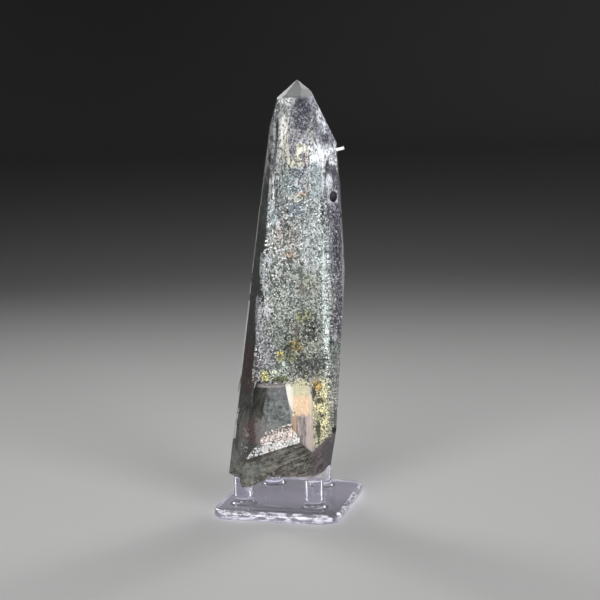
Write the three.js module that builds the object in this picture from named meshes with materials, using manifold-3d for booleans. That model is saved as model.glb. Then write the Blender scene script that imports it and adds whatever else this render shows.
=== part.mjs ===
// Phantom quartz crystal standing on a clear acrylic stand with four pegs.
// Millimetres, +Z up. The origin is the middle of the stand's underside, and +X runs along its front edge.
// Inside the clear crystal lie an earlier crystal (the phantom), a feldspar crystal and a small quartz.

import * as THREE from "three";
import { mergeVertices } from "three/addons/utils/BufferGeometryUtils.js";
import Module from "manifold-3d";

const wasm = await Module();
wasm.setup();

// Acrylic stand
const PLATE_SIDE = 50;
const PLATE_THICKNESS = 3.8;
const PLATE_CORNER_RADIUS = 6.8;
const PLATE_EDGE_ROUND = 1.7;
const PEG_RADIUS = 3.6;
const PEG_HEIGHT = 10.8;
const PEG_FOOT_FILLET = 1.9;
const PEG_RIM_ROUND = 0.3;
const PEG_SIDES = 32;
const PEG_FOOT_STEPS = 5;
const EDGE_STEPS = 5;
const CORNER_STEPS = 8;
const PEG_PLACES = [
  [13.4, -13.6],
  [-14.8, -12.8],
  [-10.75, 15.45],
  [9.2, 15.65],
];

// Gaps between pieces that touch
const CLEARANCE = 0.3;
const PEG_TOP = PLATE_THICKNESS + PEG_HEIGHT;
const CRYSTAL_FOOT = PEG_TOP + CLEARANCE;

// Edges shorter than SMALLEST_DETAIL are merged away, and corners closer than SAME_CORNER are one corner
const SMALLEST_DETAIL = 0.02;
const SAME_CORNER = 0.00001;

// Block that the crystals are cleaved from: half its width, and its top
const ROUGH_HALF = 60;
const ROUGH_TOP = 200;

// The crystal stands turned, its broad face looking CRYSTAL_TURN degrees to the right of the front edge,
// and set CRYSTAL_FORWARD nearer to the front pegs
const CRYSTAL_TURN = 15.1;
const CRYSTAL_FORWARD = 1.2;

// The upright plane y = PARTING parts the clear crystal in a front and a back half
const PARTING = -3;

// Outer faces, in the crystal's own frame: x to the right, y to the back, seen from the broad face.
// toward is the way a face looks, in degrees to the right of the front, and lean is how far it tips back.
// reach is how far out from the upright axis it lies at the height at.
const PRISM_FACES = {
  front: { toward: 0, lean: 3, reach: 14.5, at: 20 },
  rightFront: { toward: 60, lean: 3, reach: 22.3, at: 55 },
  rightBack: { toward: 120, lean: 0, reach: 19.6, at: 95 },
  lowerRight: { toward: 92, lean: -5.2, reach: 21.2, at: 70 },
  back: { toward: 180, lean: 4.7, reach: 14.6, at: 20 },
  leftBack: { toward: -120, lean: 6.8, reach: 13.3, at: 50 },
  leftFront: { toward: -60, lean: 7.85, reach: 17.65, at: 50.8 },
  leftBevel: { toward: -28, lean: 7.7, reach: 6.55, at: 143 },
};
const SHOULDER_FACES = {
  rightShoulder: { toward: 55.2, lean: 17.9, reach: 17.97, at: 136.1 },
  rightStrip: { toward: 85, lean: 24.65, reach: 21.15, at: 139.8 },
  rightShoulderBack: { toward: 115, lean: 25.3, reach: 20.4, at: 139.8 },
  leftShoulder: { toward: -85, lean: 17, reach: 3.15, at: 148.8 },
};
const TIP_FACES = {
  tipFront: { toward: 0, lean: 38, reach: 7.3, at: 157.8 },
  tipRight: { toward: 60, lean: 38, reach: 7.7, at: 163.7 },
  tipRightBack: { toward: 120, lean: 50, reach: 5, at: 163.7 },
  tipBack: { toward: 180, lean: 45, reach: -2.3, at: 163.7 },
  tipLeftBack: { toward: -120, lean: 48, reach: -7.4, at: 163.7 },
  tipLeft: { toward: -70, lean: 46.5, reach: 1.4, at: 156.9 },
};

// Broken base: two sets of breaks. The left set ends in a wedge that points right, at the front edge's notch
const BREAK_WEDGE = [
  { toward: 90, lean: 50, reach: 8.9, at: 24.8 },
  { toward: 90, lean: -31, reach: 8.9, at: 24.8 },
];
const BREAK_OVERLAP = 0.05;
const LEFT_BREAKS = {
  frontFracture: { toward: 2.73, lean: -6.5, reach: 13.3, at: 20 },
  cornerFracture: { toward: -57.3, lean: 4.15, reach: 22.35, at: 15.8 },
  backChip: { toward: -150, lean: -38, reach: 14.3, at: 19 },
};
const RIGHT_BREAKS = {
  frontFracture: { toward: 9, lean: -8, reach: 15.6, at: 25.6 },
  cornerFracture: { toward: 70, lean: -22, reach: 17.2, at: 21.2 },
  underCorner: { toward: 62, lean: -45, reach: 16.4, at: 16.6 },
  heel: { toward: 134, lean: -32, reach: 20.2, at: 20 },
};

// Lip of the broken base that hangs down in front of a peg: its outline from the front, and its depth
const LIP_OUTLINE = [
  [-19.3, 14.2],
  [-17.8, 11.7],
  [-15.1, 11.6],
  [-9.6, 14.1],
  [-6, 15.6],
  [-14, 19],
  [-19.3, 18],
];
const LIP_FRONT = -14.1;
const LIP_BACK = -12.45;

// Long shallow ripples across the front fracture, each a cut by a round bar laid along the slope
const RIPPLE_COUNT = 5;
const RIPPLE_PITCH = 2.2;
const RIPPLE_BAR_RADIUS = 3.4;
const RIPPLE_DEPTH = 0.26;
const RIPPLE_SLOPE = 16;
const RIPPLE_FIRST = [-4.5, 24.6];
const RIPPLE_LENGTH = 25;
const RIPPLE_SIDES = 40;

// Growth plates that stand slightly proud of a face, each between two heights and two sides.
// PLATE_CUT_DEPTH is how deep their outlines are carried through the crystal.
const PLATE_CUT_DEPTH = 40;
const PLATES = [
  { face: "leftFront", rise: 0.35, low: 82, high: 118, left: -30, right: 30, skew: 4 },
  { face: "front", rise: 0.3, low: 92, high: 128, left: -2.2, right: 9, skew: 12 },
  { face: "front", rise: 0.28, low: 40, high: 101, left: 11.6, right: 22, skew: -9 },
  { face: "rightFront", rise: 0.35, low: 88, high: 111, left: 10, right: 30, skew: 7 },
  { face: "back", rise: 0.45, low: 34, high: 96, left: -9, right: 4.5, skew: 14 },
  { face: "leftBack", rise: 0.35, low: 48, high: 104, left: -30, right: 30, skew: -8 },
  { face: "rightBack", rise: 0.35, low: 97, high: 128, left: -30, right: 30, skew: 6 },
];

// Chips knocked out of the long edges, each a cut by a small turned block of these proportions
const CHIP_SHAPE = [1, 1.3, 2.2];
const CHIPS = [
  { at: [-13.5, -3.4, 83.2], size: 1.7, turn: [20, 35, 50] },
  { at: [-12.5, -3.2, 90.5], size: 1.3, turn: [50, 15, 25] },
  { at: [21.9, -4.6, 67.8], size: 1.5, turn: [10, 48, 30] },
  { at: [21.3, -6.6, 62.4], size: 1.3, turn: [40, 20, 60] },
  { at: [19.7, -10.4, 47.6], size: 1.1, turn: [15, 60, 20] },
  { at: [-4.9, 9.1, 88], size: 1.6, turn: [30, 25, 50] },
  { at: [18.7, 7.1, 112], size: 1.4, turn: [65, 20, 10] },
  { at: [15.9, 12.1, 52], size: 1.7, turn: [25, 40, 15] },
];

// Shallow conchoidal hollows in the broken base, each a cut by a ball
const BALL_SEGMENTS = [28, 18];
const HOLLOWS = [
  { at: [1, 17.5, 12], radius: 9 },
  { at: [-11, 13.5, 11], radius: 7 },
  { at: [12.6, -1, 8.2], radius: 8.2 },
  { at: [-4, -2, 4.6], radius: 11.4 },
  { at: [14.2, -16.6, 17], radius: 5 },
];

// Small needle of quartz grown out of the right shoulder
const NEEDLE_ROOT = [20.6, 1.1, 137.1];
const NEEDLE_END = [24, 0.2, 137.9];
const NEEDLE_RADIUS = 0.62;
const NEEDLE_SIDES = 6;

// Phantom: the faces of the earlier crystal, this far inside the outer ones, with its own point
const PHANTOM_DEPTHS = {
  front: 1.6,
  rightFront: 2.2,
  rightBack: 2.6,
  lowerRight: 1.9,
  back: 2.6,
  leftBack: 2.6,
  leftFront: 2.3,
  leftBevel: 2.2,
};
const PHANTOM_POINT = [8.3, -3.4, 141];
const PHANTOM_POINT_FACES = [
  { toward: 8, lean: 44 },
  { toward: 66, lean: 30 },
  { toward: 124, lean: 36 },
  { toward: 182, lean: 43 },
  { toward: -116, lean: 30 },
  { toward: -62, lean: 27 },
];
const PHANTOM_BOTTOM = 52;
const PHANTOM_COLUMN = { left: 10, back: 3, bottom: 28.5, top: 62 };
const PHANTOM_COLUMN_BELOW = { toward: 30, lean: -24, reach: 19.2, at: 31 };

// Feldspar: a wide cream head, a narrower block under it and a slim cleavage column below
const FELDSPAR_HEAD = { left: -0.1, right: 9.3, front: 11.1, back: 3.6, bottom: 44.6, top: 51.3 };
const FELDSPAR_BLOCK = { left: 2.5, right: 8.4, front: 11.5, back: 4.6, bottom: 37.8, top: 45.2 };
const FELDSPAR_COLUMN = { left: 2.2, right: 8.5, front: 11.7, back: 5.6, bottom: 26.6, top: 38.6 };
const FELDSPAR_HEAD_BEVELS = [
  { toward: 90, lean: 44, reach: 8.6, at: 50.4 },
  { toward: -90, lean: -52, reach: 0.1, at: 46.6 },
  { toward: -6, lean: 40, reach: 10.6, at: 50 },
];

// Small quartz crystal shut in at the lower left, point up and leaning with the outer one
const SMALL_QUARTZ_FACES = [
  { toward: 6, lean: 3, reach: 11.9, at: 34 },
  { toward: -35, lean: 6, reach: 14.9, at: 34 },
  { toward: -100, lean: 3, reach: 16.2, at: 34 },
  { toward: -100, lean: 20.8, reach: 16.2, at: 34 },
  { toward: 180, lean: 5, reach: 2.2, at: 36 },
  { toward: -120, lean: 6.8, reach: 12.1, at: 50 },
  { toward: 92, lean: 8, reach: 0.4, at: 42 },
  { toward: -8, lean: 62, reach: 11.2, at: 50.2 },
  { toward: 150, lean: 45, reach: 1.6, at: 50 },
];
const SMALL_QUARTZ_BOTTOM = 24;

const radians = THREE.MathUtils.degToRad;

// The unit normal of a face, and how far along it the face lies from the origin
function planeOf({ toward, lean, reach, at }) {
  const turn = radians(toward);
  const tip = radians(lean);
  const normal = new THREE.Vector3(
    Math.sin(turn) * Math.cos(tip),
    -Math.cos(turn) * Math.cos(tip),
    Math.sin(tip),
  );
  const onFace = new THREE.Vector3(Math.sin(turn) * reach, -Math.cos(turn) * reach, at);
  return { normal, distance: normal.dot(onFace) };
}

// A closed solid from a geometry, with its shared corners merged
function solidOf(geometry) {
  const bare = geometry.clone();
  bare.deleteAttribute("normal");
  bare.deleteAttribute("uv");
  const merged = mergeVertices(bare, SAME_CORNER);
  return new wasm.Manifold(
    new wasm.Mesh({
      numProp: 3,
      vertProperties: new Float32Array(merged.attributes.position.array),
      triVerts: new Uint32Array(merged.index.array),
    }),
  );
}

function block(left, right, front, back, bottom, top) {
  const box = new THREE.BoxGeometry(right - left, back - front, top - bottom);
  return solidOf(box.translate((left + right) / 2, (front + back) / 2, (bottom + top) / 2));
}

// Split a solid off along each face in turn, keeping what lies behind the face moved out by grow
function cleave(solid, faces, grow = 0) {
  return faces.reduce((rest, face) => {
    const { normal, distance } = planeOf(face);
    return rest.trimByPlane([-normal.x, -normal.y, -normal.z], -(distance + grow));
  }, solid);
}

function roughBlock(bottom) {
  return block(-ROUGH_HALF, ROUGH_HALF, -ROUGH_HALF, ROUGH_HALF, bottom, ROUGH_TOP);
}

// The whole outer crystal before it is broken, with any face pushed out by the rises given
function wholeCrystal(rises = {}) {
  const faces = Object.entries({ ...PRISM_FACES, ...SHOULDER_FACES, ...TIP_FACES }).map(([name, face]) => ({
    ...face,
    reach: face.reach + (rises[name] ?? 0),
  }));
  return cleave(roughBlock(CRYSTAL_FOOT), faces);
}

// A growth plate: a sheet of the crystal whose face stands proud, cut to a skewed four-sided patch
function growthPlate({ face, rise, low, high, left, right, skew }) {
  const sheet = wholeCrystal({ [face]: rise });
  const patch = new THREE.Shape([
    new THREE.Vector2(left, low - skew / 2),
    new THREE.Vector2(right, low + skew / 2),
    new THREE.Vector2(right, high + skew / 2),
    new THREE.Vector2(left, high - skew / 2),
  ]);
  const turn = radians(PRISM_FACES[face].toward);
  const prism = new THREE.ExtrudeGeometry(patch, { depth: PLATE_CUT_DEPTH, bevelEnabled: false });
  prism.rotateX(Math.PI / 2).rotateZ(turn);
  return sheet.intersect(solidOf(prism));
}

function chipCutter({ at, size, turn }) {
  const cutter = new THREE.BoxGeometry(...CHIP_SHAPE.map((share) => share * size));
  cutter.rotateX(radians(turn[0])).rotateY(radians(turn[1])).rotateZ(radians(turn[2]));
  return solidOf(cutter.translate(...at));
}

function hollowCutter({ at, radius }) {
  return solidOf(new THREE.SphereGeometry(radius, ...BALL_SEGMENTS).translate(...at));
}

// A round bar laid along the slope of the front fracture, sunk into it by the ripple's depth
function rippleCutter(step) {
  const { normal, distance } = planeOf(LEFT_BREAKS.frontFracture);
  const slope = radians(RIPPLE_SLOPE);
  const along = new THREE.Vector3(Math.cos(slope), 0, Math.sin(slope)).projectOnPlane(normal).normalize();
  const down = normal.clone().cross(along).negate();
  const [x, z] = RIPPLE_FIRST;
  const y = (normal.x * x + normal.z * z - distance) / -normal.y;
  const middle = new THREE.Vector3(x, y, z)
    .addScaledVector(down, Math.sign(-down.z) * step * RIPPLE_PITCH)
    .addScaledVector(normal, RIPPLE_BAR_RADIUS - RIPPLE_DEPTH);
  const bar = new THREE.CylinderGeometry(RIPPLE_BAR_RADIUS, RIPPLE_BAR_RADIUS, RIPPLE_LENGTH, RIPPLE_SIDES);
  bar.applyQuaternion(new THREE.Quaternion().setFromUnitVectors(new THREE.Vector3(0, 1, 0), along));
  return solidOf(bar.translate(middle.x, middle.y, middle.z));
}

// The hanging lip, an outline in the xz plane carried from its front to its back
function lip() {
  const outline = new THREE.Shape(LIP_OUTLINE.map(([x, z]) => new THREE.Vector2(x, z)));
  const depth = LIP_BACK - LIP_FRONT;
  const sheet = new THREE.ExtrudeGeometry(outline, { depth, bevelEnabled: false });
  sheet.rotateX(Math.PI / 2).translate(0, LIP_BACK, 0);
  return cleave(solidOf(sheet), [PRISM_FACES.leftFront, LEFT_BREAKS.cornerFracture]);
}

function needle() {
  const root = new THREE.Vector3(...NEEDLE_ROOT);
  const end = new THREE.Vector3(...NEEDLE_END);
  const along = end.clone().sub(root);
  const rod = new THREE.CylinderGeometry(NEEDLE_RADIUS, NEEDLE_RADIUS, along.length(), NEEDLE_SIDES);
  rod.translate(0, along.length() / 2, 0);
  rod.applyQuaternion(
    new THREE.Quaternion().setFromUnitVectors(new THREE.Vector3(0, 1, 0), along.clone().normalize()),
  );
  return solidOf(rod.translate(root.x, root.y, root.z));
}

// The clear crystal's outside: faces, growth plates, broken base, chips and needle
function outerCrystal() {
  const grown = PLATES.reduce((solid, plate) => solid.add(growthPlate(plate)), wholeCrystal());
  const ripples = Array.from({ length: RIPPLE_COUNT }, (_, step) => rippleCutter(step));
  const wedge = cleave(cleave(grown, BREAK_WEDGE, BREAK_OVERLAP), Object.values(LEFT_BREAKS));
  const leftPart = ripples.reduce((solid, ripple) => solid.subtract(ripple), wedge);
  const rightSide = grown.subtract(cleave(roughBlock(0), BREAK_WEDGE));
  const rightPart = cleave(rightSide, Object.values(RIGHT_BREAKS));
  const broken = leftPart.add(rightPart).add(lip());
  const cutters = [...CHIPS.map(chipCutter), ...HOLLOWS.map(hollowCutter)];
  return cutters.reduce((solid, cutter) => solid.subtract(cutter), broken).add(needle());
}

function phantomSolid(grow = 0) {
  const sides = Object.entries(PHANTOM_DEPTHS).map(([name, depth]) => ({ ...PRISM_FACES[name], depth }));
  const inside = sides.reduce(
    (solid, { depth, ...face }) => cleave(solid, [face], grow - depth),
    roughBlock(PHANTOM_COLUMN.bottom - grow),
  );
  const [pointX, pointY, pointZ] = PHANTOM_POINT;
  const pointFaces = PHANTOM_POINT_FACES.map(({ toward, lean }) => ({
    toward,
    lean,
    reach: pointX * Math.sin(radians(toward)) - pointY * Math.cos(radians(toward)),
    at: pointZ,
  }));
  const pointed = cleave(inside, pointFaces, grow);
  const body = pointed.trimByPlane([0, 0, 1], PHANTOM_BOTTOM - grow);
  const { left, back, bottom, top } = PHANTOM_COLUMN;
  const columnRoom = block(left - grow, ROUGH_HALF, -ROUGH_HALF, -back + grow, bottom - grow, top);
  const column = cleave(pointed.intersect(columnRoom), [PHANTOM_COLUMN_BELOW], grow);
  return body.add(column);
}

function feldsparPiece({ left, right, front, back, bottom, top }, grow) {
  return block(left - grow, right + grow, -front - grow, -back + grow, bottom - grow, top + grow);
}

function feldsparSolid(grow = 0) {
  const pieces = [FELDSPAR_HEAD, FELDSPAR_BLOCK, FELDSPAR_COLUMN].map((piece) => feldsparPiece(piece, grow));
  const head = cleave(pieces[0], FELDSPAR_HEAD_BEVELS, grow);
  return pieces.slice(1).reduce((solid, piece) => solid.add(piece), head);
}

function smallQuartzSolid(grow = 0) {
  return cleave(roughBlock(SMALL_QUARTZ_BOTTOM - grow), SMALL_QUARTZ_FACES, grow);
}

// Geometry with flat faces from a finished solid, without the slivers that the cuts leave
function geometryOf(solid) {
  const mesh = solid.simplify(SMALLEST_DETAIL).getMesh();
  const geometry = new THREE.BufferGeometry();
  geometry.setAttribute("position", new THREE.BufferAttribute(mesh.vertProperties, 3));
  geometry.setIndex(new THREE.BufferAttribute(mesh.triVerts, 1));
  const flat = geometry.toNonIndexed();
  flat.computeVertexNormals();
  return flat;
}

function named(name, solid, look) {
  const mesh = new THREE.Mesh(geometryOf(solid), new THREE.MeshStandardMaterial(look));
  mesh.name = name;
  return mesh;
}

// The plate: a rounded square whose top and bottom rims are rounded too
function plateSolid() {
  const half = PLATE_SIDE / 2 - PLATE_EDGE_ROUND;
  const radius = PLATE_CORNER_RADIUS - PLATE_EDGE_ROUND;
  const outline = new THREE.Shape();
  outline.moveTo(radius - half, -half);
  outline.lineTo(half - radius, -half);
  outline.absarc(half - radius, radius - half, radius, -Math.PI / 2, 0);
  outline.absarc(half - radius, half - radius, radius, 0, Math.PI / 2);
  outline.absarc(radius - half, half - radius, radius, Math.PI / 2, Math.PI);
  outline.absarc(radius - half, radius - half, radius, Math.PI, Math.PI * 1.5);
  const plate = new THREE.ExtrudeGeometry(outline, {
    depth: PLATE_THICKNESS - 2 * PLATE_EDGE_ROUND,
    bevelSize: PLATE_EDGE_ROUND,
    bevelThickness: PLATE_EDGE_ROUND,
    bevelSegments: EDGE_STEPS,
    curveSegments: CORNER_STEPS,
  });
  return solidOf(plate.translate(0, 0, PLATE_EDGE_ROUND));
}

// One peg with a curved foot, turned about its own axis
function pegSolid(x, y) {
  const profile = [new THREE.Vector2(0, PLATE_THICKNESS / 2)];
  const footRadius = PEG_RADIUS + PEG_FOOT_FILLET;
  profile.push(new THREE.Vector2(footRadius, PLATE_THICKNESS / 2));
  for (let step = 0; step <= PEG_FOOT_STEPS; step += 1) {
    const angle = (step / PEG_FOOT_STEPS) * (Math.PI / 2);
    const out = footRadius - PEG_FOOT_FILLET * Math.sin(angle);
    profile.push(new THREE.Vector2(out, PLATE_THICKNESS + PEG_FOOT_FILLET * (1 - Math.cos(angle))));
  }
  profile.push(new THREE.Vector2(PEG_RADIUS, PEG_TOP - PEG_RIM_ROUND));
  profile.push(new THREE.Vector2(PEG_RADIUS - PEG_RIM_ROUND, PEG_TOP));
  profile.push(new THREE.Vector2(0, PEG_TOP));
  const peg = new THREE.LatheGeometry(profile, PEG_SIDES);
  return solidOf(peg.rotateX(Math.PI / 2).translate(x, y, 0));
}

function standSolid() {
  return PEG_PLACES.reduce((solid, [x, y]) => solid.add(pegSolid(x, y)), plateSolid());
}

const pocket = phantomSolid(CLEARANCE).add(feldsparSolid(CLEARANCE)).add(smallQuartzSolid(CLEARANCE));
const feldspar = feldsparSolid().subtract(smallQuartzSolid(CLEARANCE));
const phantom = phantomSolid().subtract(smallQuartzSolid(CLEARANCE)).subtract(feldsparSolid(CLEARANCE));
const clearQuartz = outerCrystal().subtract(pocket);
const frontHalf = clearQuartz.trimByPlane([0, -1, 0], -(PARTING - CLEARANCE / 2));
const backHalf = clearQuartz.trimByPlane([0, 1, 0], PARTING + CLEARANCE / 2);

const crystal = new THREE.Group();
crystal.rotation.z = radians(CRYSTAL_TURN);
crystal.translateY(-CRYSTAL_FORWARD);
crystal.add(
  named("crystal_front", frontHalf, { color: 0xdfe6e6, roughness: 0.05, metalness: 0 }),
  named("crystal_back", backHalf, { color: 0xd5dddc, roughness: 0.05, metalness: 0 }),
  named("phantom", phantom, { color: 0x5f6f64, roughness: 0.7, metalness: 0 }),
  named("feldspar", feldspar, { color: 0xe8c3a0, roughness: 0.6, metalness: 0 }),
  named("small_quartz", smallQuartzSolid(), { color: 0x55635f, roughness: 0.3, metalness: 0 }),
);

const part = new THREE.Group();
part.add(named("acrylic_stand", standSolid(), { color: 0xe9e8f4, roughness: 0.05, metalness: 0 }));
part.add(crystal);

export default part;
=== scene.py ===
# Looks of a phantom quartz crystal on a clear acrylic stand: metres, +Z up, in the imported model's frame.
from math import cos, pi, radians, sin, tan, tau

import bmesh
import bpy
from mathutils import Matrix, Vector
from mathutils.bvhtree import BVHTree
from mathutils.geometry import tessellate_polygon


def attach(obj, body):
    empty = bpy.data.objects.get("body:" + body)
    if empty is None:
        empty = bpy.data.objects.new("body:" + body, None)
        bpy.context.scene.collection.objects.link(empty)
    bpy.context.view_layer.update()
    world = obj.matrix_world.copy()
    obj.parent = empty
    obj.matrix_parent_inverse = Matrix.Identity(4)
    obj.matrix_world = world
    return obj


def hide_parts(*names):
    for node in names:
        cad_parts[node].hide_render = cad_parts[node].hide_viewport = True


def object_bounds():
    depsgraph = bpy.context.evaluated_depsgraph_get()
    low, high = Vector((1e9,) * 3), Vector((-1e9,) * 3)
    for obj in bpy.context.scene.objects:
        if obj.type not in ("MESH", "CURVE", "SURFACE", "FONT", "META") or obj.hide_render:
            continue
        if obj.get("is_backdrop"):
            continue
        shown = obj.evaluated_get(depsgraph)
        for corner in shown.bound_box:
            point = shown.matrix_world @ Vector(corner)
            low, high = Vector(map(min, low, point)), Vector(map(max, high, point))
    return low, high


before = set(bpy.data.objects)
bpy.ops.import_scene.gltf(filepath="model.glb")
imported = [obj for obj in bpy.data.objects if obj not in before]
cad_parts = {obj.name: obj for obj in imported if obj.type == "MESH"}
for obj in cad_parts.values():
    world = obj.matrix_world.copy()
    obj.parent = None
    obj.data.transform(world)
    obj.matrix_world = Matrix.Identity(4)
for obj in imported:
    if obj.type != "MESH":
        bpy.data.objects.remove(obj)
cad_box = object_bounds()

MM = 0.001

# The crystal's own frame, in millimetres: x to the right and y to the back, seen from its broad face
CRYSTAL_TURN = radians(15.1)
CRYSTAL_FORWARD = 1.2
TURN_AND_SHIFT = Matrix.Rotation(CRYSTAL_TURN, 4, "Z") @ Matrix.Translation((0, -CRYSTAL_FORWARD, 0))
CRYSTAL_TO_SCENE = Matrix.Scale(MM, 4) @ TURN_AND_SHIFT
SCENE_TO_CRYSTAL = CRYSTAL_TO_SCENE.inverted()

# The plane y = PARTING parts the two halves of the clear crystal, and GAP is the space between them
PARTING = -3.0
GAP = 0.3


def facing(toward, lean):
    """The unit vector of a face that looks toward, in degrees right of the front, and tips back by lean."""
    turn = radians(toward)
    tip = radians(lean)
    return Vector((sin(turn) * cos(tip), -cos(turn) * cos(tip), sin(tip)))


def in_crystal(direction):
    """A direction of the scene, in the crystal's own frame."""
    return (SCENE_TO_CRYSTAL.to_3x3() @ direction).normalized()


def way_in_scene(direction):
    """A direction of the crystal's own frame, in the scene."""
    return CRYSTAL_TO_SCENE.to_3x3().normalized() @ direction


def in_scene(place):
    """A place of the crystal's own frame, in the scene."""
    return CRYSTAL_TO_SCENE @ Vector(place)


def middle_of(face):
    """The middle of a face, in the crystal's own frame."""
    return SCENE_TO_CRYSTAL @ face.calc_center_median()


# Faces that the clear crystal grew: the way each looks, its lean, and how far out it lies at a height
FACES = {
    "front": (0, 3, 14.5, 20),
    "right": (60, 3, 22.3, 55),
    "left": (-60, 7.85, 17.65, 50.8),
    "bevel": (-28, 7.7, 6.55, 143),
    "back": (180, 4.7, 14.6, 20),
    "left_back": (-120, 6.8, 13.3, 50),
    "right_back": (120, 0, 19.6, 95),
    "lower_right": (92, -5.2, 21.2, 70),
    "shoulder": (55.2, 17.9, 17.97, 136.1),
}


def behind(face, across, height, inset):
    """The place, in the crystal's frame, inset behind a face, across along it from the crystal's axis."""
    toward, lean, reach, at = FACES[face]
    tip = radians(lean)
    out = reach - (height - at) * tan(tip) - inset / cos(tip)
    turn = radians(toward)
    return cos(turn) * across + sin(turn) * out, sin(turn) * across - cos(turn) * out, height


def before_face(name, place):
    """How far a place of the crystal's frame lies in front of the plane of one of its faces."""
    toward, lean, reach, at = FACES[name]
    tip = radians(lean)
    return facing(toward, lean).dot(place) - reach * cos(tip) - at * sin(tip)


# Node trees


class Wire:
    """A socket that can be added, subtracted, multiplied, divided and raised, each by a Math node."""

    def __init__(self, making, socket):
        self.making = making
        self.socket = socket

    def sum_up(self, operation, first, second):
        return self.making.node("Math", {0: first, 1: second}, operation=operation)

    def __add__(self, other):
        return self.sum_up("ADD", self, other)

    def __radd__(self, other):
        return self.sum_up("ADD", other, self)

    def __sub__(self, other):
        return self.sum_up("SUBTRACT", self, other)

    def __rsub__(self, other):
        return self.sum_up("SUBTRACT", other, self)

    def __mul__(self, other):
        return self.sum_up("MULTIPLY", self, other)

    def __truediv__(self, other):
        return self.sum_up("DIVIDE", self, other)

    def __pow__(self, other):
        return self.sum_up("POWER", self, other)


class Making:
    """A node tree in the making."""

    def __init__(self, tree):
        self.tree = tree

    def node(self, kind, values=None, output=0, stops=None, **settings):
        """Add a node: its settings and a ramp's stops first, then the values or wires of its sockets."""
        made = self.tree.nodes.new(kind if "Node" in kind else "ShaderNode" + kind)
        for name, value in settings.items():
            setattr(made, name, value)
        if stops:
            elements = made.color_ramp.elements
            while len(elements) < len(stops):
                elements.new(1)
            for element, (position, colour) in zip(elements, stops):
                element.position = position
                element.color = (*colour, 1)
        for key, value in (values or {}).items():
            self.feed(made.inputs[key], value)
        return Wire(self, made.outputs[output])

    def feed(self, socket, value):
        if isinstance(value, Wire):
            self.tree.links.new(value.socket, socket)
        elif socket.type == "RGBA" and len(value) == 3:
            socket.default_value = (*value, 1)
        else:
            socket.default_value = value


# A radius so large that a patch doesn't depend on how deep a point lies
FAR = 1e6


def percent(colour):
    return [part / 100 for part in colour]


class Finish(Making):
    """A material in the making. Its place is where a point lies in the crystal's own frame."""

    def __init__(self, name):
        self.material = bpy.data.materials.new(name)
        self.material.use_nodes = True
        super().__init__(self.material.node_tree)
        self.tree.nodes.clear()
        self.out = self.tree.nodes.new("ShaderNodeOutputMaterial")
        self.scene_place = self.node("TexCoord", output="Object")
        values = {"Vector": self.scene_place, "Location": (0, CRYSTAL_FORWARD, 0)}
        turned = {"Rotation": (0, 0, -CRYSTAL_TURN), "Scale": [1 / MM] * 3}
        self.place = self.node("Mapping", {**values, **turned})
        self.x, self.z = (self.node("SeparateXYZ", {0: self.place}, output=part) for part in "XZ")

    def attribute(self, name):
        return self.node("Attribute", attribute_name=name, output="Fac")

    def times(self, vector, factors):
        return self.node("VectorMath", {0: vector, 1: factors}, operation="MULTIPLY")

    def turned(self, degrees):
        """The place, turned about the crystal's y axis."""
        values = {"Vector": self.place, "Axis": (0, 1, 0), "Angle": radians(degrees)}
        return self.node("VectorRotate", values, rotation_type="AXIS_ANGLE")

    def noise(self, scale, detail=3, roughness=0.55, distortion=0, stretch=None, place=None):
        """Noise around 0.5, over the crystal's own frame unless it is given another place."""
        place = place or self.place
        if stretch:
            place = self.times(place, stretch)
        values = {"Vector": place, "Scale": scale, "Detail": detail, "Roughness": roughness}
        return self.node("TexNoise", {**values, "Distortion": distortion})

    def cells(self, scale):
        """A random value for each cell of a cell pattern."""
        colour = self.node("TexVoronoi", {"Vector": self.place, "Scale": scale}, output="Color")
        return self.node("SeparateColor", {0: colour})

    def step(self, value, low, high):
        """0 below low and 1 above high, with a smooth rise between."""
        values = {"Value": value, "From Min": low, "From Max": high}
        return self.node("MapRange", values, interpolation_type="SMOOTHSTEP")

    def mix(self, first, second, share):
        return self.node("Mix", {0: share, 6: first, 7: second}, output=2, data_type="RGBA")

    def ramp(self, value, stops):
        return self.node("ValToRGB", {0: value}, stops=stops)

    def patch(self, x, z, wide, tall, edge):
        """1 near a centre, fading out as far as wide and tall from it, where edge makes it ragged."""
        values = {"Vector": self.place, "Location": (x, 0, z), "Scale": (wide, FAR, tall)}
        near = self.node("Mapping", values, vector_type="TEXTURE")
        distance = self.node("VectorMath", {0: near}, output=1, operation="LENGTH")
        return self.step(distance + edge, 1.2, 0.7)

    def painted(self, colour, patches):
        """A colour with patches of other colours."""
        edge = (self.noise(0.7, 4) - 0.5) * 1.6
        for *where, tint, share in patches:
            colour = self.mix(colour, percent(tint), self.patch(*where, edge) * (share / 100))
        return colour

    def bump(self, height, strength, distance):
        return self.node("Bump", {"Height": height, "Strength": strength, "Distance": distance})

    def principled(self, **values):
        names = [name.replace("_", " ").title().replace("Ior", "IOR") for name in values]
        return self.node("BsdfPrincipled", dict(zip(names, values.values())))

    def surface(self, shader):
        self.feed(self.out.inputs["Surface"], shader)
        return self.material

    def solid(self, **values):
        return self.surface(self.principled(**values))

    def clear(self, glass, painted_highlight, share, tint, colour, density):
        """Glass with a painted highlight, an opaque whitish shader, mixed in by a share, and that absorbs
        light. The lamps' light passes straight through it, so that it reaches what is inside."""
        mixed = self.node("MixShader", {0: share, 1: glass, 2: painted_highlight})
        shadow = self.node("LightPath", output="Is Shadow Ray")
        through = self.node("BsdfTransparent", {"Color": tint})
        absorbed = self.node("VolumeAbsorption", {"Color": colour, "Density": density})
        self.feed(self.out.inputs["Volume"], absorbed)
        return self.surface(self.node("MixShader", {0: shadow, 1: mixed, 2: through}))


# Colours and finishes of the inner minerals

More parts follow.
